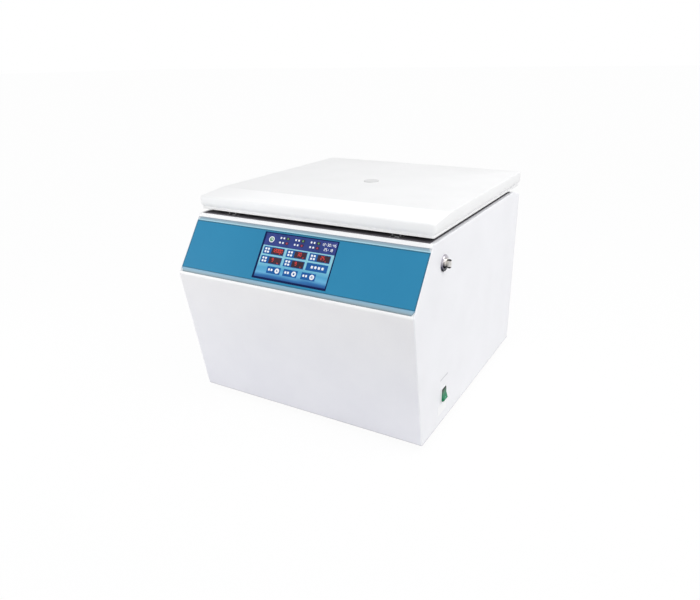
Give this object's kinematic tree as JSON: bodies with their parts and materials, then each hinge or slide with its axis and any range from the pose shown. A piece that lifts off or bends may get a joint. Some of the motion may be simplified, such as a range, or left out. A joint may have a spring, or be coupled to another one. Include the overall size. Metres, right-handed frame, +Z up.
{
  "type": "benchtop centrifuge",
  "caption": "Benchtop centrifuge with a hinged lid over a steel bowl, a swing-out rotor, a slanted touch panel, a key lock and a side power switch.",
  "frame": {"origin": "middle of the case's width and depth, on the surface that the feet stand on", "axes": "+Z up, -Y towards the front with the slanted panel, +X towards the side with the key lock"},
  "size_m": [0.4925, 0.5603, 0.4089],
  "materials": {
    "case_paint": "satin powder coat, near white",
    "lid_paint": "satin powder coat, white",
    "lining_plastic": "matte light grey moulding",
    "fascia_film": "smooth mid blue panel",
    "trim_alloy": "pale blue-grey anodised strip",
    "screen_glass": "smooth cover glass over the display",
    "display": "lit display",
    "board": "green circuit board",
    "chrome": "polished chrome",
    "steel": "brushed stainless steel",
    "zinc_steel": "zinc-plated steel",
    "rotor_alloy": "satin anodised aluminium",
    "motor_cast": "dark painted casting",
    "black_rubber": "matte black rubber",
    "grey_rubber": "matte dark grey rubber",
    "black_plastic": "matte black moulding",
    "white_plastic": "satin white moulding",
    "green_plastic": "glossy translucent green",
    "window_plastic": "clear grey acrylic"
  },
  "bodies": {
    "case": {"side_panel_left": "case_paint", "side_panel_right": "case_paint", "front_cover": "case_paint", "top_deck": "case_paint", "rear_panel": "case_paint", "base_plate": "zinc_steel", "foot_front_left": "black_rubber", "foot_front_right": "black_rubber", "foot_rear_left": "black_rubber", "foot_rear_right": "black_rubber", "foot_screws": "steel", "trim_strip_upper": "trim_alloy", "trim_strip_lower": "trim_alloy", "control_fascia": "fascia_film", "screen_glass": "screen_glass", "display_module": "display", "control_board": "board", "chamber_bowl": "steel", "bowl_gasket": "grey_rubber", "guard_ring": "zinc_steel", "shaft_boot": "black_rubber", "motor_housing": "motor_cast", "motor_bearings": "steel", "motor_plate": "zinc_steel", "motor_dampers": "black_rubber", "rear_screws": "steel", "lock_unit_left": "zinc_steel", "lock_unit_right": "zinc_steel", "hinge_leaf_lower_left": "steel", "hinge_leaf_lower_right": "steel", "hinge_pin_left": "steel", "hinge_pin_right": "steel", "lock_escutcheon": "chrome", "switch_frame": "white_plastic", "inlet_socket": "black_plastic", "fan_frame": "black_plastic", "drive_controller": "rotor_alloy", "power_supply": "zinc_steel"},
    "lid": {"lid_shell": "lid_paint", "lid_lining": "lining_plastic", "sight_window": "window_plastic", "lining_screws": "steel", "striker_left": "steel", "striker_right": "steel", "hinge_leaf_upper_left": "steel", "hinge_leaf_upper_right": "steel"},
    "rotor": {"drive_shaft": "steel", "rotor_yoke": "rotor_alloy", "rotor_nut": "steel"},
    "bucket_1": {"bucket_1": "rotor_alloy"},
    "bucket_2": {"bucket_2": "rotor_alloy"},
    "bucket_3": {"bucket_3": "rotor_alloy"},
    "bucket_4": {"bucket_4": "rotor_alloy"},
    "latch_bolt_left": {"latch_bolt_left": "steel"},
    "latch_bolt_right": {"latch_bolt_right": "steel"},
    "lock_barrel": {"lock_barrel": "chrome", "key": "steel"},
    "power_rocker": {"power_rocker": "green_plastic"},
    "fan_blades": {"fan_blades": "black_plastic"}
  },
  "joints": [
    {"name": "lid_hinge", "type": "hinge", "parent": "case", "child": "lid", "pos_m": [0, 0.267, 0.36903], "axis": [-1, 0, 0], "range_deg": [0, 75]},
    {"name": "rotor_spin", "type": "hinge", "parent": "case", "child": "rotor", "pos_m": [0, 0.039, 0.3], "axis": [0, 0, 1], "continuous": true},
    {"name": "bucket_1_swing", "type": "hinge", "parent": "rotor", "child": "bucket_1", "pos_m": [0.08, 0.039, 0.3], "axis": [0, -1, 0], "range_deg": [0, 90]},
    {"name": "bucket_2_swing", "type": "hinge", "parent": "rotor", "child": "bucket_2", "pos_m": [0, 0.119, 0.3], "axis": [1, 0, 0], "range_deg": [0, 90]},
    {"name": "bucket_3_swing", "type": "hinge", "parent": "rotor", "child": "bucket_3", "pos_m": [-0.08, 0.039, 0.3], "axis": [0, 1, 0], "range_deg": [0, 90]},
    {"name": "bucket_4_swing", "type": "hinge", "parent": "rotor", "child": "bucket_4", "pos_m": [0, -0.041, 0.3], "axis": [-1, 0, 0], "range_deg": [0, 90]},
    {"name": "latch_left_slide", "type": "slide", "parent": "case", "child": "latch_bolt_left", "axis": [0, -1, 0], "range_m": [0, 0.011]},
    {"name": "latch_right_slide", "type": "slide", "parent": "case", "child": "latch_bolt_right", "axis": [0, -1, 0], "range_m": [0, 0.011]},
    {"name": "key_turn", "type": "hinge", "parent": "case", "child": "lock_barrel", "pos_m": [0.24, -0.164, 0.328], "axis": [1, 0, 0], "range_deg": [0, 90]},
    {"name": "rocker_tilt", "type": "hinge", "parent": "case", "child": "power_rocker", "pos_m": [0.238, -0.141, 0.0732], "axis": [0, 1, 0], "range_deg": [0, 20]},
    {"name": "fan_spin", "type": "hinge", "parent": "case", "child": "fan_blades", "pos_m": [-0.11, 0.26, 0.106], "axis": [0, 1, 0], "continuous": true}
  ],
  "couplings": [
    {"joint": "bucket_2_swing", "follows": "bucket_1_swing", "ratio": 1},
    {"joint": "bucket_3_swing", "follows": "bucket_1_swing", "ratio": 1},
    {"joint": "bucket_4_swing", "follows": "bucket_1_swing", "ratio": 1},
    {"joint": "latch_right_slide", "follows": "latch_left_slide", "ratio": 1}
  ]
}
